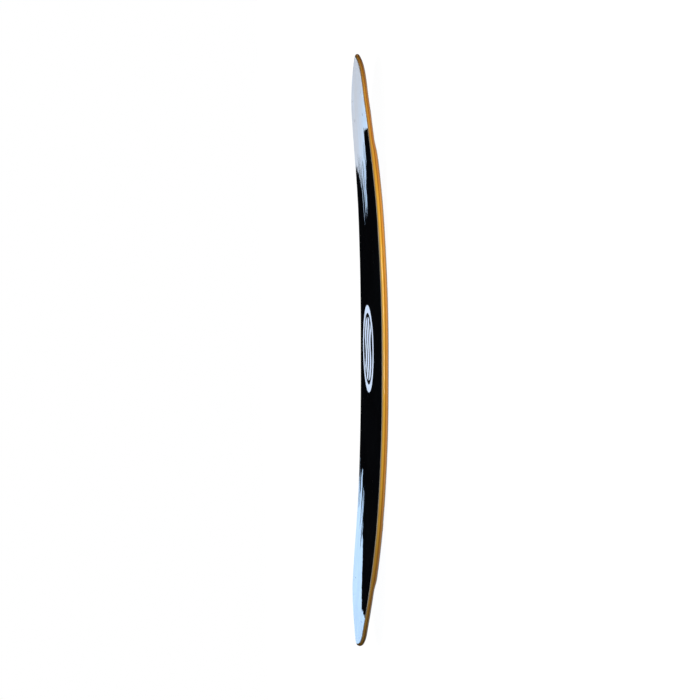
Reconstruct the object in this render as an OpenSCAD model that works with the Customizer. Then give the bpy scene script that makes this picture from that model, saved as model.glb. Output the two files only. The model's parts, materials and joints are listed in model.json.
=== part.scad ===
// Kiteboard: a twin-tip board stripped of its pads, handle and fins.
// X runs along the board, Y across it from the toe edge to the heel edge, Z up through the deck.
// The base touches Z = 0 in the middle of the board, where the origin is.
// Every layer is the same bent side profile cut to its own plan outline, so the layers meet face to face.

/* [Outline] */
// Length over both tips
board_l = 1380; // [1200:10:1500]
// Width at the middle
board_w = 410; // [390:2:450]
// Share of the width that the side curve takes away by the tips
side_taper = 0.48; // [0.3:0.01:0.56]
// Power of the tip curve, higher for a squarer tip
tip_power = 18; // [14:1:26]
// Exponent of the tip curve, lower for a rounder point
tip_round = 1; // [0.8:0.05:1.2]

/* [Rocker] */
// Lift of each tip from the even bend
bend_h = 34.5; // [15:0.5:50]
// Power of the even bend, higher for a flatter middle
bend_power = 1.8; // [1.6:0.02:2.4]
// Extra lift that comes in ahead of the tips
kick_h = 5.2; // [0:0.2:10]
// Share of the extra lift that is lost again at the very tip
kick_fade = 0.8; // [0:0.02:1]
// Half length of the flat in the middle of the base
flat_half = 60; // [20:2:80]

/* [Thickness] */
// Thickness in the middle
mid_t = 15; // [13:0.5:18]
// Thickness of the tips, past the step in the base
tip_t = 12; // [10:0.5:12.5]
// Place of the step, as a share of the half length
step_at = 0.67; // [0.6:0.01:0.7]
// Length of the step
step_l = 35; // [25:1:60]
// Thickness of the top sheet and of the base sheet
sheet_t = 0.5; // [0.3:0.1:0.8]
// Thickness of each glass laminate
lam_t = 0.7; // [0.4:0.1:1]

/* [Rail] */
// Width of the rail, from its belly to the core
rail_w = 12; // [10:0.5:16]
// How far the sheets stop short of the rail's belly
edge_inset = 5; // [3:0.5:6]
// Height of the belly, as a share of the rail's height
belly = 0.5; // [0.35:0.05:0.65]

/* [Core] */
// Width of the three hardwood stringers
stringer_w = 32; // [26:1:36]
// Distance of the outer stringers from the centre line
stringer_y = 80; // [72:1:88]

/* [Inserts] */
// Distance of each foot pad's insert pattern from the middle
pad_x = 260; // [230:5:300]
// Distance between neighbouring pad inserts along the board
pad_pitch = 25; // [22:1:30]
// Distance between the two handle inserts
handle_pitch = 160; // [120:5:200]
// Radius of an insert's threaded hole, the core of an M6 thread
thread_r = 2.5; // [2.4:0.1:2.6]
// Radius of an insert's barrel
barrel_r = 4.5; // [4:0.1:5.5]
// Radius of an insert's flange
flange_r = 7; // [6:0.5:9]
// Thickness of an insert's flange
flange_t = 1.5; // [1:0.1:2]

/* [Fin ferrules] */
// Distance of each fin's centre from the middle
fin_x = 575; // [540:1:580]
// Distance between a fin's two screws
fin_pitch = 45; // [30:1:50]
// Radius of a ferrule's through hole, for an M6 screw
ferrule_hole_r = 3.25; // [3.1:0.05:3.5]
// Radius of a ferrule
ferrule_r = 5; // [4.5:0.1:6]

/* [Hidden] */
$fn = 48;
half_l = board_l/2;
half_w = board_w/2;
// Both ends of the extra lift and the start of its fade, as shares of the half length
kick_from = 0.476;
kick_to = 0.876;
fade_from = 0.84;
// Both ends of the step in the base
step_x0 = step_at*half_l;
step_x1 = step_x0 + step_l;
// Segments of a quarter outline: along the side, over the step and round the tip
side_n = 16;
step_n = 6;
tip_n = 14;
// How strongly the stations crowd towards the tip
tip_crowding = 1.6;
// An inset point keeps at least this share of its distance from the centre line
keep_off = 0.15;
quarter_n = 1 + side_n + step_n + tip_n;
// The rails are scarfed together at this station
scarf_k = 1 + side_n + step_n + 2;
arc_step = 15;
// Anything this tall clears the whole board
tall = 3*(mid_t + bend_h + kick_h);
// Floor of metal that is left under an insert's blind hole
blind_t = 2;
inner_strips = 2;
outer_strips = 4;

// ---- outline ----
function smooth(u) = let (c = min(1, max(0, u))) c*c*(3 - 2*c);
function spread(from, to, n) = [for (i = [0:n - 1]) from + (to - from)*i/n];
function half_width(x) =
    let (s = min(1, abs(x)/half_l))
    half_w*(1 - side_taper*s*s)*pow(max(0, 1 - pow(s, tip_power)), tip_round);

quarter_x = concat(
    [0],
    spread(flat_half, step_x0, side_n),
    spread(step_x0, step_x1, step_n),
    [for (i = [0:tip_n]) half_l - (half_l - step_x1)*pow(1 - i/tip_n, tip_crowding)]);

// Outline point k, counted from the middle of the toe edge round the nose, heel edge and tail
function outline_pt(k) =
    let (n = quarter_n, m = (k + 4*n) % (4*n), q = floor(m/n), r = m - q*n)
    let (x = quarter_x[q % 2 == 0 ? r : n - r])
    [(q < 2 ? 1 : -1)*x, (q == 0 || q == 3 ? -1 : 1)*half_width(x)];
function outward(k) =
    let (d = outline_pt(k + 1) - outline_pt(k - 1))
    [d.y, -d.x]/norm(d);
function inset_pt(k, inset) =
    let (p = outline_pt(k), q = p - outward(k)*inset)
    [q.x, sign(p.y)*max(keep_off*abs(p.y), sign(p.y)*q.y)];

// ---- side profile ----
function lift(x) =
    let (s = abs(x)/half_l, bend = max(0, abs(x) - flat_half)/(half_l - flat_half))
    bend_h*pow(bend, bend_power) + kick_h*smooth((s - kick_from)/(kick_to - kick_from))
        *(1 - kick_fade*smooth((s - fade_from)/(1 - fade_from)));
function thickness(x) = mid_t - (mid_t - tip_t)*smooth((abs(x) - step_x0)/step_l);

half_stations = [for (i = [1:quarter_n]) quarter_x[i]];
stations = concat([for (i = [quarter_n - 1:-1:0]) -half_stations[i]], half_stations);
deck_z = [for (x = stations) [x, mid_t + lift(x)]];
base_z = [for (x = stations) [x, mid_t + lift(x) - thickness(x)]];
function raised(level, h) = [for (p = level) [p.x, p.y + h]];
top_lam_z = raised(deck_z, -sheet_t);
core_top_z = raised(deck_z, -sheet_t - lam_t);
core_base_z = raised(base_z, sheet_t + lam_t);
base_lam_z = raised(base_z, sheet_t);
flange_z = raised(core_base_z, flange_t);

// The bent band between two levels, from y0 to y1
module band(low, high, y0 = -half_w, y1 = half_w) {
    count = len(stations);
    translate([0, y1, 0]) rotate([90, 0, 0]) linear_extrude(y1 - y0)
        polygon(concat(low, [for (i = [count - 1:-1:0]) high[i]]));
}

module plan(inset) {
    linear_extrude(tall) polygon([for (k = [0:4*quarter_n - 1]) inset_pt(k, inset)]);
}

module drill(points, r) {
    for (p = points) translate([p.x, p.y, -tall/2]) cylinder(h = 2*tall, r = r);
}

// ---- hole patterns ----
function mirrored_x(points) = concat(points, [for (p = points) [-p.x, p.y]]);
function pad_row(y) = [for (i = [-1:1]) [pad_x + i*pad_pitch, y]];
function fin_pair(side_x, y) = [for (i = [-1, 1]) [side_x*(fin_x + i*fin_pitch/2), y]];
front_pad = concat(pad_row(-stringer_y), pad_row(stringer_y));
rear_pad = [for (p = front_pad) [-p.x, p.y]];
handle = [[-handle_pitch/2, 0], [handle_pitch/2, 0]];
all_inserts = concat(front_pad, rear_pad, handle);
all_fins = [for (sx = [-1, 1], sy = [-1, 1]) each fin_pair(sx, sy*stringer_y)];

// ---- skins ----
module skin(low, high) {
    difference() {
        intersection() {
            band(low, high);
            plan(edge_inset);
        }
        drill(all_fins, ferrule_r);
    }
}

module deck_skin(low, high) {
    difference() {
        skin(low, high);
        drill(all_inserts, barrel_r);
    }
}

module top_sheet() {
    color("#0a0c10") deck_skin(top_lam_z, deck_z);
}

module top_laminate() {
    color("#6b685c") deck_skin(core_top_z, top_lam_z);
}

module bottom_laminate() {
    color("#a9803f") skin(base_lam_z, core_base_z);
}

module base_sheet() {
    color("#16181d") skin(base_z, base_lam_z);
}

// ---- core ----
module stave(y0, y1) {
    intersection() {
        band(core_base_z, core_top_z, y0, y1);
        plan(rail_w);
    }
}

// Strip i of n between two distances from the centre line, on one side of it
module core_strip(side, from, to, i, n) {
    near = from + (to - from)*i/n;
    far = from + (to - from)*(i + 1)/n;
    color(i % 2 == 0 ? "#d9c39a" : "#cdb386") stave(min(side*near, side*far), max(side*near, side*far));
}

module inner_strip(side, i) {
    core_strip(side, stringer_w/2, stringer_y - stringer_w/2, i, inner_strips);
}

module outer_strip(side, i) {
    core_strip(side, stringer_y + stringer_w/2, half_w - rail_w, i, outer_strips);
}

module stringer(y, inserts, fins) {
    color("#a9794a") difference() {
        stave(y - stringer_w/2, y + stringer_w/2);
        drill(inserts, barrel_r);
        drill(fins, ferrule_r);
        intersection() {
            band(core_base_z, flange_z, y - stringer_w/2, y + stringer_w/2);
            drill(inserts, flange_r);
        }
    }
}

module side_stringer(side) {
    inserts = [for (p = all_inserts) if (p.y == side*stringer_y) p];
    fins = [for (p = all_fins) if (p.y == side*stringer_y) p];
    stringer(side*stringer_y, inserts, fins);
}

// ---- rails ----
// Points of the section as [inset, share of the height], from the inner bottom corner round the belly
rail_section = concat(
    [[rail_w, 0]],
    [for (a = [0:arc_step:90]) [edge_inset*(1 - sin(a)), belly*(1 - cos(a))]],
    [for (a = [90 - arc_step:-arc_step:0]) [edge_inset*(1 - sin(a)), 1 - (1 - belly)*(1 - cos(a))]],
    [[rail_w, 1]]);

function rail_pt(k, corner) =
    let (p = inset_pt(k, corner[0]), low = lookup(p.x, core_base_z), high = lookup(p.x, core_top_z))
    [p.x, p.y, low + (high - low)*corner[1]];

// The stretch of rail between stations k0 and k1
module rail(k0, k1) {
    m = len(rail_section);
    n = k1 - k0;
    points = [for (k = [k0:k1], corner = rail_section) rail_pt(k, corner)];
    walls = [for (i = [0:n - 1], j = [0:m - 1])
        [i*m + j, i*m + (j + 1) % m, (i + 1)*m + (j + 1) % m, (i + 1)*m + j]];
    start_cap = [for (j = [m - 1:-1:0]) j];
    end_cap = [for (j = [0:m - 1]) n*m + j];
    color("#c98a2e") polyhedron(points, concat(walls, [start_cap, end_cap]));
}

module toe_side_rail() {
    rail(-scarf_k, scarf_k);
}

module heel_side_rail() {
    rail(2*quarter_n - scarf_k, 2*quarter_n + scarf_k);
}

module nose_tip_rail() {
    rail(scarf_k, 2*quarter_n - scarf_k);
}

module tail_tip_rail() {
    rail(2*quarter_n + scarf_k, 4*quarter_n - scarf_k);
}

// ---- inserts and ferrules ----
module inserts(points) {
    color("#c9a84f") difference() {
        union() {
            intersection() {
                band(core_base_z, deck_z);
                drill(points, barrel_r);
            }
            intersection() {
                band(core_base_z, flange_z);
                drill(points, flange_r);
            }
        }
        for (p = points) translate([p.x, p.y, lookup(p.x, core_base_z) + blind_t])
            cylinder(h = tall, r = thread_r);
    }
}

module fin_ferrules(side_x, side_y) {
    points = fin_pair(side_x, side_y*stringer_y);
    color("#c9cbcf") difference() {
        intersection() {
            band(base_z, deck_z);
            drill(points, ferrule_r);
        }
        drill(points, ferrule_hole_r);
    }
}

top_sheet();
top_laminate();
bottom_laminate();
base_sheet();
toe_side_rail();
heel_side_rail();
nose_tip_rail();
tail_tip_rail();
stringer(0, handle, []);  // centre_stringer
side_stringer(-1);  // toe_stringer
side_stringer(1);  // heel_stringer
inner_strip(-1, 0);  // toe_inner_strip_1
inner_strip(-1, 1);  // toe_inner_strip_2
outer_strip(-1, 0);  // toe_outer_strip_1
outer_strip(-1, 1);  // toe_outer_strip_2
outer_strip(-1, 2);  // toe_outer_strip_3
outer_strip(-1, 3);  // toe_outer_strip_4
inner_strip(1, 0);  // heel_inner_strip_1
inner_strip(1, 1);  // heel_inner_strip_2
outer_strip(1, 0);  // heel_outer_strip_1
outer_strip(1, 1);  // heel_outer_strip_2
outer_strip(1, 2);  // heel_outer_strip_3
outer_strip(1, 3);  // heel_outer_strip_4
inserts(front_pad);  // front_pad_inserts
inserts(rear_pad);  // rear_pad_inserts
inserts(handle);  // handle_inserts
fin_ferrules(1, -1);  // nose_toe_fin_ferrules
fin_ferrules(1, 1);  // nose_heel_fin_ferrules
fin_ferrules(-1, -1);  // tail_toe_fin_ferrules
fin_ferrules(-1, 1);  // tail_heel_fin_ferrules
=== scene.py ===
"""Looks for the kiteboard: smooth skins and cast rail, threaded bushes, paint, lights and camera."""

import json
import math

import bpy
import numpy as np
from mathutils import Matrix, Vector
from mathutils.geometry import delaunay_2d_cdt

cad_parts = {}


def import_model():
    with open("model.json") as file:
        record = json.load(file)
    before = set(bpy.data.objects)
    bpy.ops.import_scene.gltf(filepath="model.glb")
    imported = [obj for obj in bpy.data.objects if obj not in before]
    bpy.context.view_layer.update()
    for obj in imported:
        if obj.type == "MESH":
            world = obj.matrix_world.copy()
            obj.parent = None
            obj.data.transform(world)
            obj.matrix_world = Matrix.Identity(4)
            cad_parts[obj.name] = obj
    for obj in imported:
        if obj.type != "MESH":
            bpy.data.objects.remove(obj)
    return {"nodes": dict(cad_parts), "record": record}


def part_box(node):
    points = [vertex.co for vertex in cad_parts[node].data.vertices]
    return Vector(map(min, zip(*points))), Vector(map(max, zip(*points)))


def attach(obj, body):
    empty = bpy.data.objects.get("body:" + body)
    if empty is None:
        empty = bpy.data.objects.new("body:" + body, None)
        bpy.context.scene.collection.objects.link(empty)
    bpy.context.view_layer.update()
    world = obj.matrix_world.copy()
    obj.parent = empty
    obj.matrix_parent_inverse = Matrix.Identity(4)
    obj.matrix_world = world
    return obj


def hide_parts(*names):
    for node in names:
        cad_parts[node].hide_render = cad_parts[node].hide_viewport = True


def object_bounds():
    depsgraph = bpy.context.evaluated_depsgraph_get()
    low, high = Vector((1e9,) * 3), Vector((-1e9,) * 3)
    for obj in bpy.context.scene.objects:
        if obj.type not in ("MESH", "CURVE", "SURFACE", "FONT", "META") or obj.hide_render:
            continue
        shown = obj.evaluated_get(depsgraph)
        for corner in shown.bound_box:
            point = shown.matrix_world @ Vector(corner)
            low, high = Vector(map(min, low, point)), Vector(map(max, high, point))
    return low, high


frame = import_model()
cad_lo, cad_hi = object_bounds()
NODES = frame["nodes"]
RECORD = frame["record"]

# ---------------------------------------------------------------- the board's form, in metres
HALF_L = (cad_hi.x - cad_lo.x) / 2
HALF_W = (cad_hi.y - cad_lo.y) / 2
SIDE_TAPER, TIP_POWER, TIP_ROUND = 0.48, 18, 1.0
BEND_H, BEND_POWER, FLAT_HALF = 0.0345, 1.8, 0.06
# The kick and the fade of its upper end, placed as shares of the half length
KICK_H, KICK_FROM, KICK_TO, KICK_FADE, FADE_FROM = 0.0052, 0.476, 0.876, 0.8, 0.84
MID_T, TIP_T, STEP_AT, STEP_L = 0.015, 0.012, 0.67, 0.035
SHEET_T, LAM_T = 0.0005, 0.0007
RAIL_W, EDGE_INSET, BELLY = 0.012, 0.005, 0.5
MM = 0.001
# Sampling of the plan outline, crowded at the tip, and the blur in mm that eases its sharp point
SAMPLES, TIP_CROWDING = 6001, 2.2
EASE_REACH, EASE_SIGMA, EASE_FROM, EASE_OVER = 26, 8.5, 0.8, 0.1
NORMAL_REACH = 6
# Stations of the outline that meshes use: steps in mm near a tip and along a side
TIP_ZONE, TIP_STEP, SIDE_STEP = 0.8, 3, 9


def smooth(u):
    c = np.clip(u, 0, 1)
    return c * c * (3 - 2 * c)


def half_width(x):
    s = np.minimum(1, np.abs(x) / HALF_L)
    return HALF_W * (1 - SIDE_TAPER * s * s) * np.maximum(0, 1 - s**TIP_POWER) ** TIP_ROUND


def lift(x):
    s = np.abs(x) / HALF_L
    bend = np.maximum(0, np.abs(x) - FLAT_HALF) / (HALF_L - FLAT_HALF)
    kick = smooth((s - KICK_FROM) / (KICK_TO - KICK_FROM))
    faded = 1 - KICK_FADE * smooth((s - FADE_FROM) / (1 - FADE_FROM))
    return BEND_H * bend**BEND_POWER + KICK_H * kick * faded


def deck_z(x):
    return MID_T + lift(x)


def base_z(x):
    return deck_z(x) - MID_T + (MID_T - TIP_T) * smooth((np.abs(x) - STEP_AT * HALF_L) / STEP_L)


def under_film(x):
    return deck_z(x) - SHEET_T


def over_film(x):
    return base_z(x) + SHEET_T


def core_top_z(x):
    return deck_z(x) - SHEET_T - LAM_T


def core_base_z(x):
    return base_z(x) + SHEET_T + LAM_T


def outline():
    """The plan outline at 1 mm steps, its sharp point eased, with its outward normals."""
    u = np.linspace(0, 1, SAMPLES)
    x = HALF_L * (1 - (1 - u) ** TIP_CROWDING)
    quarter = np.stack([x, -half_width(x)], 1)
    nose = np.concatenate([quarter, (quarter * [1, -1])[-2::-1]])
    loop = np.concatenate([nose, (nose * [-1, 1])[-2:0:-1]])
    closed = np.concatenate([loop, loop[:1]])
    run = np.concatenate([[0], np.cumsum(np.linalg.norm(np.diff(closed, axis=0), axis=1))])
    count = int(run[-1] / MM)
    at = np.arange(count) * run[-1] / count
    pts = np.stack([np.interp(at, run, closed[:, i]) for i in (0, 1)], 1)
    tap = np.arange(-EASE_REACH, EASE_REACH + 1)
    kernel = np.exp(-0.5 * (tap / EASE_SIGMA) ** 2)
    kernel /= kernel.sum()
    eased = sum(w * np.roll(pts, -t, axis=0) for t, w in zip(tap, kernel))
    tip = np.clip((np.abs(pts[:, :1]) / HALF_L - EASE_FROM) / EASE_OVER, 0, 1)
    pts = pts * (1 - tip) + eased * tip
    short = HALF_L - np.abs(pts[:, 0]).max()
    pts[:, 0] += np.sign(pts[:, 0]) * short * tip[:, 0]
    along = np.roll(pts, -NORMAL_REACH, axis=0) - np.roll(pts, NORMAL_REACH, axis=0)
    along /= np.linalg.norm(along, axis=1)[:, None]
    return pts, np.stack([along[:, 1], -along[:, 0]], 1)


OUT, OUT_N = outline()


def stations():
    """Indices into OUT, closer together round the tips than along the sides."""
    keep, last = [], -SIDE_STEP
    for i in range(len(OUT)):
        gap = TIP_STEP if abs(OUT[i, 0]) > TIP_ZONE * HALF_L else SIDE_STEP
        if i - last >= gap:
            keep.append(i)
            last = i
    return np.array(keep)


ST = stations()


def inset(d):
    """The outline's stations moved inwards."""
    return OUT[ST] - OUT_N[ST] * d


# ---------------------------------------------------------------- mesh helpers
# A sheet's triangles: a ring of points round each hole, and a grid of loose ones between
HOLE_SIDES, RING_SIDES, RING_GAP = 40, 20, 0.004
GRID, HOLE_GAP, EDGE_GAP, EDGE_SHARE, TIP_REACH = 0.016, 0.010, 0.012, 0.4, 1.012
# A triangle whose middle is nearer to a hole's than this share of the radius lies in the hole
CHORD_SHARE = 0.996
SHARP_DEG, RAIL_SHARP_DEG, BUSH_SHARP_DEG, TUBE_SHARP_DEG = 35, 50, 32, 30


def piece(name, verts, faces, slot, *nodes, mats, sharp=SHARP_DEG):
    """A smooth-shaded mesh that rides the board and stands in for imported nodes."""
    mesh = bpy.data.meshes.new(name)
    mesh.from_pydata([tuple(map(float, v)) for v in verts], [], [tuple(map(int, f)) for f in faces])
    mesh.validate()
    for m in mats:
        mesh.materials.append(m)
    mesh.shade_smooth()
    mesh.set_sharp_from_angle(angle=math.radians(sharp))
    obj = bpy.data.objects.new(name, mesh)
    bpy.context.scene.collection.objects.link(obj)
    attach(obj, "root")
    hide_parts(*nodes)
    return obj


def circle(centre, r, n):
    a = 2 * math.pi * np.arange(n) / n
    return np.stack([centre[0] + r * np.cos(a), centre[1] + r * np.sin(a)], 1)


def loose_points(drilled):
    """A grid of points over the board's plan that keeps clear of its edge and its holes."""
    xs = np.arange(-HALF_L, HALF_L, GRID)
    ys = np.arange(-HALF_W, HALF_W, GRID)
    gx, gy = np.meshgrid(xs + GRID / 2, ys + GRID / 2)
    cloud = np.stack([gx.ravel(), gy.ravel()], 1)
    room = half_width(cloud[:, 0] * TIP_REACH) - EDGE_GAP - np.abs(cloud[:, 1])
    cloud = cloud[room > GRID * EDGE_SHARE]
    for c, r in drilled:
        cloud = cloud[np.hypot(cloud[:, 0] - c[0], cloud[:, 1] - c[1]) > r + HOLE_GAP]
    return cloud


def triangulated(edge, drilled):
    """Triangles over the plan, inside a loop and outside its round holes.

    Gives the points, the triangles, and each loop's indices into the points.
    """
    loops = [edge] + [circle(c, r, HOLE_SIDES) for c, r in drilled]
    rings = [circle(c, r + RING_GAP, RING_SIDES) for c, r in drilled]
    pts, edges, starts = [], [], []
    for loop in loops:
        n, at = len(loop), len(pts)
        pts += [tuple(p) for p in loop]
        edges += [(at + i, at + (i + 1) % n) for i in range(n)]
        starts.append(list(range(at, at + n)))
    pts += [tuple(p) for p in np.concatenate(rings + [loose_points(drilled)])]
    plan = [list(range(len(edge)))]
    made, _, polygons, sources, _, _ = delaunay_2d_cdt([Vector(p) for p in pts], edges, plan, 1, 1e-7)
    verts = np.array([tuple(v) for v in made])
    where = {}
    for new, olds in enumerate(sources):
        for old in olds:
            where[old] = new
    tris = []
    for f in polygons:
        c = verts[list(f)].mean(0)
        if all(math.hypot(c[0] - h[0], c[1] - h[1]) > r * CHORD_SHARE for h, r in drilled):
            tris.append(tuple(f))
    area = sum(np.cross(verts[t[1]] - verts[t[0]], verts[t[2]] - verts[t[0]]) for t in tris[:50])
    if area < 0:
        tris = [t[::-1] for t in tris]
    return verts, tris, [[where[i] for i in loop] for loop in starts]


def sheet(name, top_inset, low_inset, top, low, drilled, slot, node, mat):
    """A thin bent sheet with a bevelled edge: top and low are its levels as functions of x."""
    top_pts, top_tris, top_loops = triangulated(inset(top_inset), drilled)
    low_pts, low_tris, low_loops = triangulated(inset(low_inset), drilled)
    verts = [(x, y, top(x)) for x, y in top_pts] + [(x, y, low(x)) for x, y in low_pts]
    n = len(top_pts)
    faces = list(top_tris) + [tuple(n + i for i in f[::-1]) for f in low_tris]
    for above, below in zip(top_loops, low_loops):
        count = len(above)
        outer = above is top_loops[0]
        for i in range(count):
            j = (i + 1) % count
            quad = (above[i], n + below[i], n + below[j], above[j])
            faces.append(quad if outer else quad[::-1])
    piece(name, verts, faces, slot, node, mats=[mat])


# ---------------------------------------------------------------- node helpers
class Tree:
    """A material's node tree around one Principled shader, with short names for the usual sums."""

    def __init__(self, name):
        self.mat = bpy.data.materials.new(name)
        self.mat.use_nodes = True
        self.t = self.mat.node_tree
        self.t.nodes.clear()
        out = self.t.nodes.new("ShaderNodeOutputMaterial")
        self.bsdf = self.t.nodes.new("ShaderNodeBsdfPrincipled")
        self.t.links.new(self.bsdf.outputs[0], out.inputs[0])
        self.place = self.t.nodes.new("ShaderNodeTexCoord").outputs["Object"]

    def put(self, socket, value):
        """Link a socket to an input, or set the input to a constant."""
        if isinstance(value, bpy.types.NodeSocket):
            self.t.links.new(value, socket)
        else:
            socket.default_value = value

    def node(self, kind, *values, out=0, **settings):
        """A node with its inputs filled in order and its settings made; gives one output."""
        n = self.t.nodes.new("ShaderNode" + kind)
        for k, v in settings.items():
            setattr(n, k, v)
        for i, v in enumerate(values):
            if v is not None:
                self.put(n.inputs[i], v)
        return n.outputs[out]

    def math(self, op, a, b=None, c=None, clamp=False):
        return self.node("Math", a, b, c, operation=op, use_clamp=clamp)

    def add(self, a, b):
        return self.math("ADD", a, b)

    def sub(self, a, b):
        return self.math("SUBTRACT", a, b)

    def mul(self, a, b):
        return self.math("MULTIPLY", a, b)

    def xyz(self):
        n = self.t.nodes.new("ShaderNodeSeparateXYZ")
        self.t.links.new(self.place, n.inputs[0])
        return n.outputs

    def combine(self, x, y, z):
        return self.node("CombineXYZ", x, y, z)

    def step(self, v, lo, hi):
        """0 below lo, 1 above hi, smooth between."""
        n = self.t.nodes.new("ShaderNodeMapRange")
        n.interpolation_type = "SMOOTHSTEP"
        for s, val in zip(n.inputs[:5], (v, lo, hi, 0.0, 1.0)):
            self.put(s, val)
        return n.outputs[0]

    def noise(self, vector, scale, detail=3.0, rough=0.55):
        n = self.t.nodes.new("ShaderNodeTexNoise")
        self.t.links.new(vector, n.inputs["Vector"])
        n.inputs["Scale"].default_value = scale
        n.inputs["Detail"].default_value = detail
        n.inputs["Roughness"].default_value = rough
        return n.outputs["Fac"]

    def stretched(self, sx, sy, sz=1.0, detail=3.0, rough=0.55, shift=0.0):
        """Noise whose features are longer along the axes with the smaller factors."""
        n = self.t.nodes.new("ShaderNodeMapping")
        self.t.links.new(self.place, n.inputs[0])
        n.inputs["Scale"].default_value = (sx, sy, sz)
        n.inputs["Location"].default_value = (shift, shift * 0.7, 0)
        return self.noise(n.outputs[0], 1.0, detail, rough)

    def mix(self, fac, a, b):
        n = self.t.nodes.new("ShaderNodeMix")
        n.data_type = "RGBA"
        self.put(n.inputs[0], fac)
        for s, v in ((n.inputs[6], a), (n.inputs[7], b)):
            self.put(s, v if isinstance(v, bpy.types.NodeSocket) else (*v, 1.0))
        return n.outputs[2]

    def ramp(self, fac, stops):
        n = self.t.nodes.new("ShaderNodeValToRGB")
        self.t.links.new(fac, n.inputs[0])
        e = n.color_ramp.elements
        while len(e) < len(stops):
            e.new(0.5)
        for el, (at, colour) in zip(e, stops):
            el.position = at
            el.color = (*colour, 1.0)
        return n.outputs[0]

    def across(self, y, points, lo, hi):
        """A curve over the board's width through (y, result) points, with results between lo and hi."""
        n = self.t.nodes.new("ShaderNodeFloatCurve")
        share = self.math("DIVIDE", self.add(y, HALF_W), 2 * HALF_W, clamp=True)
        self.t.links.new(share, n.inputs["Value"])
        c = n.mapping.curves[0]
        pts = [((a + HALF_W) / (2 * HALF_W), (b - lo) / (hi - lo)) for a, b in points]
        while len(c.points) < len(pts):
            c.points.new(0.5, 0.5)
        for p, (a, b) in zip(c.points, pts):
            p.location = (a, b)
            p.handle_type = "VECTOR"
        n.mapping.update()
        return self.add(self.mul(n.outputs[0], hi - lo), lo)

    def bump(self, height, distance, strength):
        n = self.t.nodes.new("ShaderNodeBump")
        n.inputs["Strength"].default_value = strength
        n.inputs["Distance"].default_value = distance
        self.t.links.new(height, n.inputs["Height"])
        self.t.links.new(n.outputs[0], self.bsdf.inputs["Normal"])

    def set(self, **values):
        """Fill the shader's inputs, named as base_color for Base Color."""
        for k, v in values.items():
            self.put(self.bsdf.inputs[k.replace("_", " ").title().replace("Ior", "IOR")], v)


# ---------------------------------------------------------------- paint
# Edge of the pale paint at each end, as (y, x) across the board
NOSE_EDGE = [(-0.205, 0.522), (-0.100, 0.519), (-0.074, 0.506), (-0.054, 0.462), (-0.034, 0.404),
             (-0.020, 0.384), (0.017, 0.384), (0.042, 0.392), (0.072, 0.400), (0.088, 0.424),
             (0.112, 0.447), (0.205, 0.458)]
TAIL_EDGE = [(-0.205, -0.556), (-0.120, -0.566), (-0.068, -0.574), (-0.045, -0.540), (-0.015, -0.490),
             (0.020, -0.440), (0.045, -0.400), (0.064, -0.364), (0.098, -0.350), (0.107, -0.318),
             (0.135, -0.312), (0.205, -0.345)]
# How ragged each edge is, as (y, metres) across the board
NOSE_RAG = [(-0.205, 0.003), (-0.095, 0.004), (-0.050, 0.040), (0.070, 0.065), (0.100, 0.012), (0.205, 0.006)]
TAIL_RAG = [(-0.205, 0.003), (0.030, 0.008), (0.060, 0.045), (0.170, 0.065), (0.205, 0.020)]

BLACK = (0.0006, 0.0007, 0.0014)
LINE = (0.0022, 0.0030, 0.0050)
SKY, SKY_CLOUD = (0.47, 0.68, 0.98), (0.54, 0.76, 1.0)
LILAC, LILAC_CLOUD = (0.54, 0.57, 0.635), (0.56, 0.63, 0.75)
STROKE, SCUFF = (0.30, 0.36, 0.48), (0.5, 0.55, 0.6)
EMBLEM, EMBLEM_X, EMBLEM_Y, EMBLEM_R = (0.56, 0.66, 0.84), 0.026, 0.042, 0.103
LINE_PITCH = 0.008
CRISP = 0.0006


def pale_ends(t, x, y):
    """1 on the brushed pale ends, 0 elsewhere."""
    lanes = t.stretched(1.0, 62.0, detail=1.0, rough=0.5)
    hairs = t.stretched(2.5, 190.0, detail=1.0, rough=0.5, shift=3.1)
    gaps = t.stretched(11.0, 90.0, detail=2.0, rough=0.6, shift=7.7)
    tear = t.add(t.mul(t.sub(lanes, 0.5), 4.0), t.mul(t.sub(hairs, 0.5), 2.2))
    tear = t.add(tear, t.mul(t.sub(gaps, 0.5), 4.5))
    scraped = t.stretched(6.0, 120.0, detail=1.0, rough=0.5, shift=12.3)
    nose = t.sub(x, t.across(y, NOSE_EDGE, 0.3, 0.6)), t.across(y, NOSE_RAG, 0.0, 0.1)
    tail = t.sub(t.across(y, TAIL_EDGE, -0.6, -0.2), x), t.across(y, TAIL_RAG, 0.0, 0.1)
    ends = []
    for depth, rag in (nose, tail):
        edge = t.step(t.add(depth, t.mul(tear, rag)), -CRISP, CRISP)
        brushed = t.mul(t.step(depth, 0.115, 0.060), t.step(rag, 0.012, 0.032))
        slits = t.step(t.add(scraped, t.mul(t.sub(brushed, 1.0), 0.3)), 0.575, 0.585)
        ends.append(t.mul(edge, t.sub(1.0, slits)))
    return t.math("MAXIMUM", *ends)


def roundel(t, x, y, cx, cy, r):
    """1 on a plain ring with three waves in it, 0 elsewhere; its sizes are shares of its radius."""
    ex, ey = t.sub(x, cx), t.sub(y, cy)
    away = t.math("SQRT", t.add(t.mul(ex, ex), t.mul(ey, ey)))
    ring = t.step(t.math("ABSOLUTE", t.sub(away, r * 0.91)), r * 0.095, r * 0.085)
    wave = t.mul(t.math("SINE", t.mul(ex, 2 * math.pi / (r * 0.92))), r * 0.085)
    row = t.math("PINGPONG", t.add(t.sub(ey, wave), r * 3.0), r * 0.2)
    bands = t.step(row, r * 0.070, r * 0.078)
    inside = t.step(away, r * 0.735, r * 0.725)
    calm = t.step(t.math("ABSOLUTE", t.sub(ey, wave)), r * 0.61, r * 0.60)
    return t.math("MAXIMUM", ring, t.mul(bands, t.mul(inside, calm)))


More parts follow.
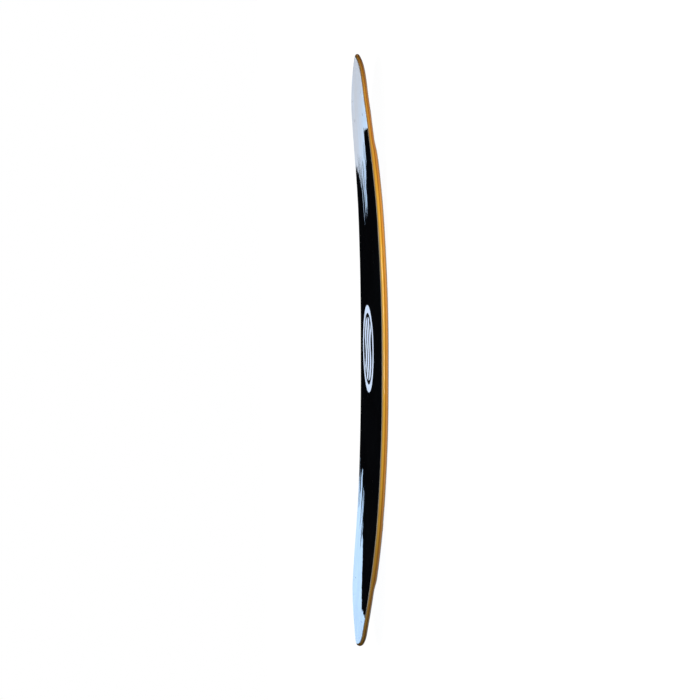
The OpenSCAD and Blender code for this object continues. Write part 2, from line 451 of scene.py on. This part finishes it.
def pale_paint(t, x, y):
    """Lilac towards the nose and sky blue elsewhere, clouded, with faint strokes along the board."""
    tone = t.step(t.add(x, t.mul(y, 0.9)), 0.30, 0.62)
    cloudy = t.step(t.stretched(5.0, 22.0, rough=0.6, shift=1.7), 0.40, 0.75)
    colour = t.mix(cloudy, t.mix(tone, SKY, LILAC), t.mix(tone, SKY_CLOUD, LILAC_CLOUD))
    strokes = t.step(t.stretched(10.0, 300.0), 0.42, 0.70)
    return t.mix(t.mul(strokes, 0.10), colour, STROKE)


def dark_paint(t, x, y):
    """Near-black with faint slanted pin lines that come and go."""
    slanted = t.add(t.math("ABSOLUTE", x), t.mul(y, 0.3))
    lines = t.step(t.math("PINGPONG", slanted, LINE_PITCH), LINE_PITCH * 0.625, LINE_PITCH * 0.825)
    seen = t.step(t.stretched(9.0, 5.0, detail=2.0, rough=0.5, shift=5.0), 0.30, 0.66)
    return t.mix(t.mul(lines, seen), BLACK, LINE)


def film(name, emblem, flip=1):
    """Glossy printed film: dark middle, pale brushed ends, scratches and orange peel."""
    t = Tree(name)
    x, y, _ = t.xyz()
    y = t.mul(y, flip)
    raised = pale_ends(t, x, y)
    colour = t.mix(raised, dark_paint(t, x, y), pale_paint(t, x, y))
    if emblem:
        mark = roundel(t, x, y, EMBLEM_X, EMBLEM_Y, EMBLEM_R)
        wear = t.mul(t.step(t.stretched(30.0, 60.0), 0.62, 0.70), 0.25)
        colour = t.mix(t.mul(mark, t.sub(1.0, wear)), colour, EMBLEM)
        raised = t.math("MAXIMUM", raised, mark)
    scratch = t.step(t.stretched(22.0, 700.0, detail=1.0, rough=0.4, shift=9.0), 0.75, 0.80)
    colour = t.mix(t.mul(scratch, 0.05), colour, SCUFF)
    smear = t.noise(t.place, 11.0, 4.0)
    rough = t.add(t.add(0.07, t.mul(smear, 0.07)), t.mul(scratch, 0.10))
    rough = t.add(rough, t.mul(raised, 0.45))
    t.set(base_color=colour, roughness=rough, ior=1.45, specular_ior_level=0.25)
    peel = t.noise(t.place, 260.0, 2.0)
    wide = t.stretched(2.0, 6.0, 2.0, detail=2.0)
    height = t.add(t.mul(peel, 0.10), t.add(t.mul(raised, 0.5), t.mul(wide, 0.4)))
    t.bump(height, 0.00008, 0.6)
    return t.mat


# Glass tows across a laminate's edge, in radians per metre
TOW_RATE = 2600.0
# Colours of the cast rail from its base edge (0) to its deck edge (1), with light and shade painted in: a
# painted highlight as the bright gold band near 0.62, a painted shade line near 0.42, and painted shade
# darkening the deck edge
RAIL_RAMP_LIT_AND_SHADED = [
    (0.00, (0.40, 0.160, 0.018)), (0.22, (0.52, 0.210, 0.018)), (0.33, (0.56, 0.220, 0.016)),
    (0.42, (0.29, 0.105, 0.002)), (0.50, (0.33, 0.135, 0.004)), (0.62, (0.62, 0.320, 0.030)),
    (0.82, (0.48, 0.260, 0.030)), (1.00, (0.13, 0.085, 0.016))]
# Painted shade: browner, darker colours mixed into the rail towards the tail and towards the nose
RAIL_TAIL_SHADE, RAIL_NOSE_SHADE = (0.10, 0.045, 0.006), (0.17, 0.03, 0.004)
RAIL_FIBRE, RAIL_STREAK, RAIL_BUBBLE = (0.62, 0.34, 0.06), (0.20, 0.075, 0.004), (0.80, 0.55, 0.20)


def laminate(name, light, dark):
    """Resin and glass: fine tows across the edge, clearer and milkier patches along it."""
    t = Tree(name)
    weave = t.mul(t.math("SINE", t.mul(t.xyz()[0], TOW_RATE)), 0.5)
    patch = t.noise(t.place, 28.0, 3.0)
    both = t.add(t.mul(weave, 0.25), patch)
    colour = t.mix(t.step(both, 0.25, 0.85), dark, light)
    t.set(base_color=colour, roughness=0.28, coat_weight=0.4, coat_roughness=0.12)
    t.bump(weave, 0.00004, 0.4)
    return t.mat


def cast(name):
    """Amber cast resin: honey streaks, a painted highlight band and a painted shade line just below the
    belly, painted shade browning both tips, tiny bubbles.
    """
    t = Tree(name)
    x = t.xyz()[0]
    share = t.node("Attribute", out=2, attribute_name="share")
    run = t.node("Attribute", out=2, attribute_name="run")
    flow = t.noise(t.combine(t.mul(run, 3.0), t.mul(share, 2.2), 0.0), 1.6, 4.0)
    fibre = t.noise(t.combine(t.mul(run, 9.0), t.mul(share, 26.0), 2.0), 1.0, 3.0)
    # Painted highlight and painted shade: the ramp's bright gold band and its dark lines stand in for the
    # lamps' light on the rounded rail
    colour = t.ramp(t.add(share, t.mul(t.sub(flow, 0.5), 0.10)), RAIL_RAMP_LIT_AND_SHADED)
    # Painted shade darkening the rail towards the tail, then towards the nose
    colour = t.mix(t.mul(t.step(x, -0.10, -0.64), 0.74), colour, RAIL_TAIL_SHADE)
    colour = t.mix(t.mul(t.step(x, 0.30, 0.56), 0.5), colour, RAIL_NOSE_SHADE)
    colour = t.mix(t.mul(t.step(fibre, 0.45, 0.72), 0.30), colour, RAIL_FIBRE)
    colour = t.mix(t.mul(t.step(flow, 0.55, 0.80), 0.30), colour, RAIL_STREAK)
    bubble = t.t.nodes.new("ShaderNodeTexVoronoi")
    bubble.inputs["Scale"].default_value = 420.0
    t.t.links.new(t.place, bubble.inputs["Vector"])
    dots = t.step(bubble.outputs["Distance"], 0.16, 0.10)
    some = t.step(t.noise(t.place, 60.0, 1.0), 0.56, 0.64)
    colour = t.mix(t.mul(t.mul(dots, some), 0.4), colour, RAIL_BUBBLE)
    rough = t.add(0.07, t.mul(t.noise(t.place, 40.0, 3.0), 0.10))
    t.set(base_color=colour, roughness=rough, ior=1.5, coat_weight=0.2, coat_roughness=0.06,
          subsurface_weight=0.10, subsurface_scale=0.004, subsurface_radius=(1.0, 0.4, 0.1))
    t.bump(t.noise(t.place, 150.0, 3.0), 0.00006, 0.5)
    return t.mat


def wood(name, early, late, ring_rate, grain):
    """Rings that run along the board, fine pores and a little variation in tone."""
    t = Tree(name)
    warp = t.stretched(1.5, 9.0, 9.0, detail=2.0)
    _, y, z = t.xyz()
    band = t.math("SINE", t.mul(t.add(t.add(y, t.mul(z, 0.8)), t.mul(warp, 0.02)), ring_rate))
    pores = t.stretched(14.0, 900.0, 900.0, detail=2.0)
    tone = t.add(t.mul(band, 0.35), t.mul(warp, 0.6))
    colour = t.mix(t.step(tone, 0.1, 0.7), early, late)
    colour = t.mix(t.mul(t.step(pores, 0.56, 0.70), grain), colour, [c * 0.35 for c in late])
    t.set(base_color=colour, roughness=0.62)
    t.bump(t.add(pores, t.mul(band, 0.2)), 0.0001, 0.6)
    return t.mat


def metal(name, bright, dull, rough, ring_rate):
    """Turned metal: fine rings up the bore, patchy tarnish."""
    t = Tree(name)
    stain = t.noise(t.place, 240.0, 4.0)
    rings = t.math("SINE", t.mul(t.xyz()[2], ring_rate))
    colour = t.mix(t.step(stain, 0.45, 0.70), bright, dull)
    t.set(base_color=colour, metallic=1.0, roughness=t.add(rough, t.mul(stain, 0.18)))
    t.bump(rings, 0.00003, 0.5)
    return t.mat


def nylon(name):
    """Matt black moulding with a fine grain."""
    t = Tree(name)
    grit = t.noise(t.place, 900.0, 3.0)
    colour = t.mix(grit, (0.006, 0.006, 0.007), (0.014, 0.015, 0.017))
    t.set(base_color=colour, roughness=t.add(0.42, t.mul(grit, 0.2)))
    t.bump(grit, 0.00005, 0.5)
    return t.mat


DECK = film("deck_print", True)
BASE = film("base_print", False, -1)
GLASS = laminate("deck_glass", (0.25, 0.24, 0.19), (0.12, 0.115, 0.085))
RESIN = laminate("base_glass", (0.62, 0.40, 0.15), (0.36, 0.20, 0.05))
RAIL = cast("amber_cast")
PAULOWNIA = wood("paulownia_wood", (0.66, 0.50, 0.30), (0.46, 0.31, 0.16), 900.0, 0.35)
HARDWOOD = wood("hardwood_wood", (0.36, 0.19, 0.08), (0.20, 0.09, 0.035), 1500.0, 0.6)
BRASS = metal("brass_turned", (0.74, 0.53, 0.21), (0.42, 0.27, 0.10), 0.18, 9000.0)
STEEL = metal("steel_turned", (0.62, 0.63, 0.65), (0.40, 0.41, 0.43), 0.16, 12000.0)
NYLON = nylon("black_nylon")

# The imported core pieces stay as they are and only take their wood
for name, obj in NODES.items():
    own = HARDWOOD if "stringer" in name else PAULOWNIA if "strip" in name else None
    if own:
        obj.data.materials.clear()
        obj.data.materials.append(own)


# ---------------------------------------------------------------- skins
def pattern(mount):
    """The hole centres of a packed bolt pattern, in metres."""
    d = mount["dims"]
    cx, cy, _ = mount["pos_m"]
    dx, dy = (d.get(k, 0) * MM / 2 for k in ("spacing_x_mm", "spacing_y_mm"))
    return sorted({(cx + sx * dx, cy + sy * dy) for sx in (-1, 1) for sy in (-1, 1)})


HOLES = {m["name"]: pattern(m) for m in RECORD["mounts"] if m["kind"] == "bolt_pattern"}
BARREL_R, FLANGE_R, FLANGE_T, BLIND_T = 0.0045, 0.007, 0.0015, 0.002
THREAD_R, MAJOR_R, PITCH = 0.0025, 0.003, MM
FERRULE_R, FERRULE_BORE = 0.005, 0.00325
INSERTS = {
    "front_pad_inserts": HOLES["front_pad_outer_holes"] + HOLES["front_pad_middle_holes"],
    "rear_pad_inserts": HOLES["rear_pad_outer_holes"] + HOLES["rear_pad_middle_holes"],
    "handle_inserts": HOLES["handle_holes"],
}
FINS = {n.replace("_holes", "_ferrules"): p for n, p in HOLES.items() if "fin" in n}


def holes(fin_r, insert_r=None):
    """Round holes at every ferrule and, where a radius is given, at every insert."""
    made = [(p, fin_r) for n in sorted(FINS) for p in FINS[n]]
    return made + [(p, insert_r) for n in sorted(INSERTS) for p in INSERTS[n] if insert_r]


FILM_FIN_R, FILM_INSERT_R = FERRULE_BORE + 0.3 * MM, MAJOR_R + 0.3 * MM

sheet("deck_film", EDGE_INSET + 1.1 * MM, EDGE_INSET + 0.7 * MM, deck_z, under_film,
      holes(FILM_FIN_R, FILM_INSERT_R), "deck_film", "top_sheet", DECK)
sheet("deck_laminate", EDGE_INSET + 0.6 * MM, EDGE_INSET - 0.1 * MM, under_film, core_top_z,
      holes(FERRULE_R, BARREL_R), "deck_laminate", "top_laminate", GLASS)
sheet("base_laminate", EDGE_INSET - 0.1 * MM, EDGE_INSET + 0.5 * MM, core_base_z, over_film,
      holes(FERRULE_R), "base_laminate", "bottom_laminate", RESIN)
sheet("base_film", EDGE_INSET + 0.6 * MM, EDGE_INSET + 1.0 * MM, over_film, base_z,
      holes(FILM_FIN_R), "base_film", "base_sheet", BASE)

# ---------------------------------------------------------------- rails
# Half section from the base edge to the deck edge, as (depth from the outline, share of the height)
ARC = np.radians(np.arange(0, 91, 7.5))
BACK = ARC[-2::-1]
SHOULDER = RAIL_W * 0.6
SECTION = np.concatenate([
    [[RAIL_W, 0], [SHOULDER, 0]],
    np.stack([EDGE_INSET * (1 - np.sin(ARC)), BELLY * (1 - np.cos(ARC))], 1),
    np.stack([EDGE_INSET * (1 - np.sin(BACK)), 1 - (1 - BELLY) * (1 - np.cos(BACK))], 1),
    [[SHOULDER, 1], [RAIL_W, 1]]])


def rail_loop():
    """The section set up at every station."""
    rings = []
    for k in ST:
        xy = OUT[k] - OUT_N[k] * SECTION[:, :1]
        low, high = core_base_z(xy[:, 0]), core_top_z(xy[:, 0])
        rings.append(np.column_stack([xy, low + (high - low) * SECTION[:, 1]]))
    return np.array(rings)


RINGS = rail_loop()
along = np.roll(RINGS, -1, axis=0) - np.roll(RINGS, 1, axis=0)
up = np.roll(RINGS, -1, axis=1) - np.roll(RINGS, 1, axis=1)
RING_N = np.cross(along, up)
RING_N /= np.linalg.norm(RING_N, axis=2)[:, :, None]
RUN = np.concatenate([[0], np.cumsum(np.linalg.norm(np.diff(OUT[ST], axis=0), axis=1))])


def carry_normals(mesh, ids):
    """The whole loop's normals on the round of a rail, and flat ones on its ends and inner faces."""
    m = len(SECTION)
    flat = {0, 1, m - 2, m - 1}
    ring_n = RING_N[ids].reshape(-1, 3)
    split = []
    for poly in mesh.polygons:
        end = len(poly.vertices) != 4
        square = all(v % m in flat for v in poly.vertices)
        for v in poly.vertices:
            keep = end or square or v % m in (0, m - 1)
            split.append(tuple(poly.normal if keep else ring_n[v]))
    mesh.normals_split_custom_set(split)


def rail(name, node, start, stop):
    """The stretch of rail between two stations, its shading carried on from its neighbours."""
    total, m = len(ST), len(SECTION)
    ids = [i % total for i in range(start, stop + 1)]
    verts = RINGS[ids].reshape(-1, 3)
    faces = []
    for i in range(len(ids) - 1):
        for j in range(m):
            jj = (j + 1) % m
            faces.append((i * m + j, (i + 1) * m + j, (i + 1) * m + jj, i * m + jj))
    last = (len(ids) - 1) * m
    faces += [tuple(range(m)), tuple(last + j for j in range(m - 1, -1, -1))]
    mesh = piece(name, verts, faces, "cast_rail", node, mats=[RAIL], sharp=RAIL_SHARP_DEG).data
    share = mesh.attributes.new("share", "FLOAT", "POINT")
    share.data.foreach_set("value", np.tile(SECTION[:, 1], len(ids)).astype(np.float32))
    run = mesh.attributes.new("run", "FLOAT", "POINT")
    far = np.array([RUN[i] + (RUN[-1] if start + n >= total else 0) for n, i in enumerate(ids)])
    run.data.foreach_set("value", np.repeat(far, m).astype(np.float32))
    carry_normals(mesh, ids)


# Stations of the side rails come in two runs, with a tip between one run and the next
SCARF_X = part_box("nose_tip_rail")[0].x
on_side = [i for i, k in enumerate(ST) if abs(OUT[k, 0]) < SCARF_X]
before, after = zip(*[(a, b) for a, b in zip(on_side, on_side[1:]) if b - a > 1])
rail("nose_rail", "nose_tip_rail", before[0], after[0])
rail("heel_rail", "heel_side_rail", after[0], before[1])
rail("tail_rail", "tail_tip_rail", before[1], after[1])
rail("toe_rail", "toe_side_rail", after[1], len(ST) + before[0])


# ---------------------------------------------------------------- bushes and ferrules
def slope(x):
    """How steeply the board climbs along X."""
    return float(deck_z(x + MM) - deck_z(x - MM)) / (2 * MM)


def thread_rows(z_low, z_high):
    """Rings of a blind threaded bore from its mouth down, as (radius, level, wound)."""
    z0, z1 = z_low + BLIND_T, z_high - THREAD_DEEP
    rows = int((z1 - z0) / MM * ROWS_PER_MM)
    rings = [(None, z1 + (z0 - z1) * i / rows, True) for i in range(rows + 1)]
    return rings + [(DRILL_TIP_R, z0 - DRILL_TIP_H, False)]


def thread_radius(z, angle):
    turn = (z / PITCH - angle / (2 * math.pi)) % 1
    return THREAD_R + (MAJOR_R - THREAD_R) * abs(2 * turn - 1)


def turned(centres, profile, segs, low, high, threaded=False):
    """A lathed body at each centre, sheared to lie flush in the bent board.

    Profile points are (radius, level, offset). Without a thread the profile is closed on itself.
    """
    verts, faces = [], []
    for cx, cy in centres:
        lean = slope(cx)
        z_of = {"low": float(low(cx)), "high": float(high(cx))}
        rings = [(r, z_of[level] + off, False) for r, level, off in profile]
        if threaded:
            rings += thread_rows(z_of["low"], z_of["high"])
        at, n = len(verts), len(rings)
        for r, z, wound in rings:
            for i in range(segs):
                a = 2 * math.pi * i / segs
                radius = thread_radius(z, a) if wound else r
                dx, dy = radius * math.cos(a), radius * math.sin(a)
                verts.append((cx + dx, cy + dy, z + lean * dx))
        for j in range(n - 1 if threaded else n):
            here, there = at + j * segs, at + (j + 1) % n * segs
            for i in range(segs):
                k = (i + 1) % segs
                faces.append((here + i, here + k, there + k, there + i))
        if threaded:
            faces.append(tuple(at + segs - 1 - i for i in range(segs)))
            faces.append(tuple(at + (n - 1) * segs + i for i in range(segs)))
    return verts, faces


# How far below a bush's mouth its thread starts, the rings in each mm of it, and the point left by the drill
THREAD_DEEP, ROWS_PER_MM, DRILL_TIP_R, DRILL_TIP_H = 0.0012, 5, 0.0004, 0.0006
BUSH_SEGS, TUBE_SEGS = 24, 40
# The nylon collar over the brass: its inner radius and its depth under the deck
COLLAR_R, COLLAR_T = 0.0036, 0.0026
BUSH = [(FLANGE_R - 0.0004, "low", 0.0), (FLANGE_R, "low", 0.0003), (FLANGE_R, "low", FLANGE_T - 0.0003),
        (FLANGE_R - 0.0003, "low", FLANGE_T), (BARREL_R, "low", FLANGE_T), (BARREL_R, "high", -0.0004),
        (BARREL_R - 0.00025, "high", -0.00015), (COLLAR_R, "high", -0.00015), (0.0035, "high", -0.0003),
        (0.0032, "high", -0.0004)]
TUBE = [(FERRULE_R, "low", 0.0004), (FERRULE_R, "high", -0.0004), (FERRULE_R - 0.0003, "high", -0.0001),
        (FERRULE_BORE + 0.0006, "high", -0.0001), (FERRULE_BORE, "high", -0.0007),
        (FERRULE_BORE, "low", 0.0007), (FERRULE_BORE + 0.0006, "low", 0.0001),
        (FERRULE_R - 0.0003, "low", 0.0001)]

# A bush is a brass thread in a black nylon body
for node, centres in INSERTS.items():
    verts, faces = turned(centres, BUSH, BUSH_SEGS, core_base_z, under_film, threaded=True)
    obj = piece(node.replace("inserts", "bushes"), verts, faces, "insert_brass", node,
                mats=[BRASS, NYLON], sharp=BUSH_SHARP_DEG)
    for p in obj.data.polygons:
        r = min(math.hypot(p.center.x - c[0], p.center.y - c[1]) for c in centres)
        if r > COLLAR_R or p.center.z > deck_z(p.center.x) - COLLAR_T:
            p.material_index = 1

for node, centres in FINS.items():
    verts, faces = turned(centres, TUBE, TUBE_SEGS, over_film, under_film)
    piece(node.replace("ferrules", "tubes"), verts, faces, "ferrule_steel", node,
          mats=[STEEL], sharp=TUBE_SHARP_DEG)


# ---------------------------------------------------------------- stage
FLOOR_HALF, FLOOR_Z, FLOOR_GREY = 30.0, -0.0004, 0.05
# The floor's glow grows from the first strength to the second between these distances
FLOOR_NEAR, FLOOR_FAR, GLOW_NEAR, GLOW_FAR = 0.7, 2.0, 0.97, 1.05
# Brightness of the world from straight below (0) to straight above (1), and its tint
WORLD_STOPS = [(0.0, 0.90), (0.15, 0.60), (0.34, 0.08), (0.5, 0.0), (0.62, 0.003), (0.82, 0.16), (1.0, 0.24)]
WORLD_TINT = (0.90, 0.96, 1.0)
COOL, WARM, CREAM, WHITE = (0.94, 0.97, 1.0), (1.0, 0.95, 0.86), (1.0, 0.97, 0.90), (1.0, 1.0, 1.0)


def shader_nodes(tree, *kinds):
    return [tree.nodes.new("ShaderNode" + kind) for kind in kinds]


def floor_material():
    """A pale glow that only a camera above it sees; all other rays pass through."""
    mat = bpy.data.materials.new("floor")
    mat.use_nodes = True
    tree = mat.node_tree
    tree.nodes.clear()
    link = tree.links.new
    out, glow, chalk, both = shader_nodes(tree, "OutputMaterial", "Emission", "BsdfDiffuse", "AddShader")
    where, away, fade = shader_nodes(tree, "TexCoord", "VectorMath", "MapRange")
    path, side, shown = shader_nodes(tree, "LightPath", "NewGeometry", "Math")
    clear, pick = shader_nodes(tree, "BsdfTransparent", "MixShader")
    away.operation = "LENGTH"
    for socket, value in zip(fade.inputs[1:5], (FLOOR_NEAR, FLOOR_FAR, GLOW_NEAR, GLOW_FAR)):
        socket.default_value = value
    chalk.inputs["Color"].default_value = (FLOOR_GREY, FLOOR_GREY, FLOOR_GREY, 1)
    shown.operation = "SUBTRACT"
    shown.use_clamp = True
    link(where.outputs["Object"], away.inputs[0])
    link(away.outputs["Value"], fade.inputs[0])
    link(fade.outputs[0], glow.inputs["Strength"])
    link(glow.outputs[0], both.inputs[0])
    link(chalk.outputs[0], both.inputs[1])
    link(path.outputs["Is Camera Ray"], shown.inputs[0])
    link(side.outputs["Backfacing"], shown.inputs[1])
    link(shown.outputs[0], pick.inputs[0])
    link(clear.outputs[0], pick.inputs[1])
    link(both.outputs[0], pick.inputs[2])
    link(pick.outputs[0], out.inputs[0])
    return mat


def floor():
    mesh = bpy.data.meshes.new("floor")
    s = FLOOR_HALF
    mesh.from_pydata([(-s, -s, 0), (s, -s, 0), (s, s, 0), (-s, s, 0)], [], [(0, 1, 2, 3)])
    obj = bpy.data.objects.new("floor", mesh)
    obj.location.z = FLOOR_Z
    bpy.context.scene.collection.objects.link(obj)
    mesh.materials.append(floor_material())


def world():
    """White to the camera, and to all else a dim studio that is brightest from below."""
    w = bpy.data.worlds.new("studio")
    bpy.context.scene.world = w
    w.use_nodes = True
    tree = w.node_tree
    tree.nodes.clear()
    link = tree.links.new
    out, white, dim, mix = shader_nodes(tree, "OutputWorld", "Background", "Background", "MixShader")
    path, where, part, ramp = shader_nodes(tree, "LightPath", "TexCoord", "SeparateXYZ", "ValToRGB")
    half, = shader_nodes(tree, "Math")
    white.inputs[0].default_value = (*WHITE, 1)
    stops = ramp.color_ramp.elements
    while len(stops) < len(WORLD_STOPS):
        stops.new(0.5)
    for stop, (at, level) in zip(stops, WORLD_STOPS):
        stop.position = at
        stop.color = (*(level * tint for tint in WORLD_TINT), 1)
    half.operation = "MULTIPLY_ADD"
    half.inputs[1].default_value, half.inputs[2].default_value = 0.5, 0.5
    link(where.outputs["Generated"], part.inputs[0])
    link(part.outputs[2], half.inputs[0])
    link(half.outputs[0], ramp.inputs[0])
    link(ramp.outputs[0], dim.inputs[0])
    link(path.outputs["Is Camera Ray"], mix.inputs[0])
    link(dim.outputs[0], mix.inputs[1])
    link(white.outputs[0], mix.inputs[2])
    link(mix.outputs[0], out.inputs[0])


def softbox(name, at, to, size, watts, colour=WHITE, glossy=True):
    """A rectangular lamp aimed at a point; without glossy it doesn't show in reflections."""
    lamp = bpy.data.lights.new(name, "AREA")
    lamp.shape = "RECTANGLE"
    lamp.size, lamp.size_y = size
    lamp.energy = watts
    lamp.color = colour
    obj = bpy.data.objects.new(name, lamp)
    obj.location = at
    obj.rotation_mode = "QUATERNION"
    obj.rotation_quaternion = (Vector(to) - Vector(at)).to_track_quat("-Z", "Y")
    obj.visible_camera = False
    obj.visible_glossy = glossy
    bpy.context.scene.collection.objects.link(obj)


floor()
world()
softbox("overhead", (0.0, 0.3, 2.2), (0.0, 0.0, 0.0), (2.4, 1.4), 50, COOL, glossy=False)
softbox("key", (0.55, -1.15, 0.12), (0.20, 0.0, 0.02), (0.8, 0.2), 12, WARM, glossy=False)
softbox("strip", (-0.04, -2.7, 1.8), (0.0, 0.0, 0.02), (1.4, 0.4), 32, CREAM)
softbox("behind", (-0.9, 3.0, 2.4), (0.0, 0.0, 0.02), (2.4, 1.2), 18)

# ---------------------------------------------------------------- camera, turned so that the nose is up
EYE, AIM, ROLL = Vector((0.3553, -2.1839, 0.2806)), Vector((0.0299, 0.0, 0.0620)), math.radians(-0.168)
LENS, SENSOR, CLIP_NEAR, CLIP_FAR = 49.47, 36, 0.05, 100

look = (AIM - EYE).normalized()
above = Vector((1, 0, 0))
above = (above - look * above.dot(look)).normalized()
right = look.cross(above)
cos_roll, sin_roll = math.cos(ROLL), math.sin(ROLL)
right, above = right * cos_roll + above * sin_roll, above * cos_roll - right * sin_roll
cam = bpy.data.objects.new("camera", bpy.data.cameras.new("camera"))
bpy.context.scene.collection.objects.link(cam)
bpy.context.scene.camera = cam
cam.matrix_world = Matrix((
    (right.x, above.x, -look.x, EYE.x), (right.y, above.y, -look.y, EYE.y),
    (right.z, above.z, -look.z, EYE.z), (0, 0, 0, 1)))
cam.data.sensor_width = SENSOR
cam.data.lens = LENS
cam.data.clip_start, cam.data.clip_end = CLIP_NEAR, CLIP_FAR

view = bpy.context.scene.view_settings
view.view_transform = "Standard"
view.look = "None"
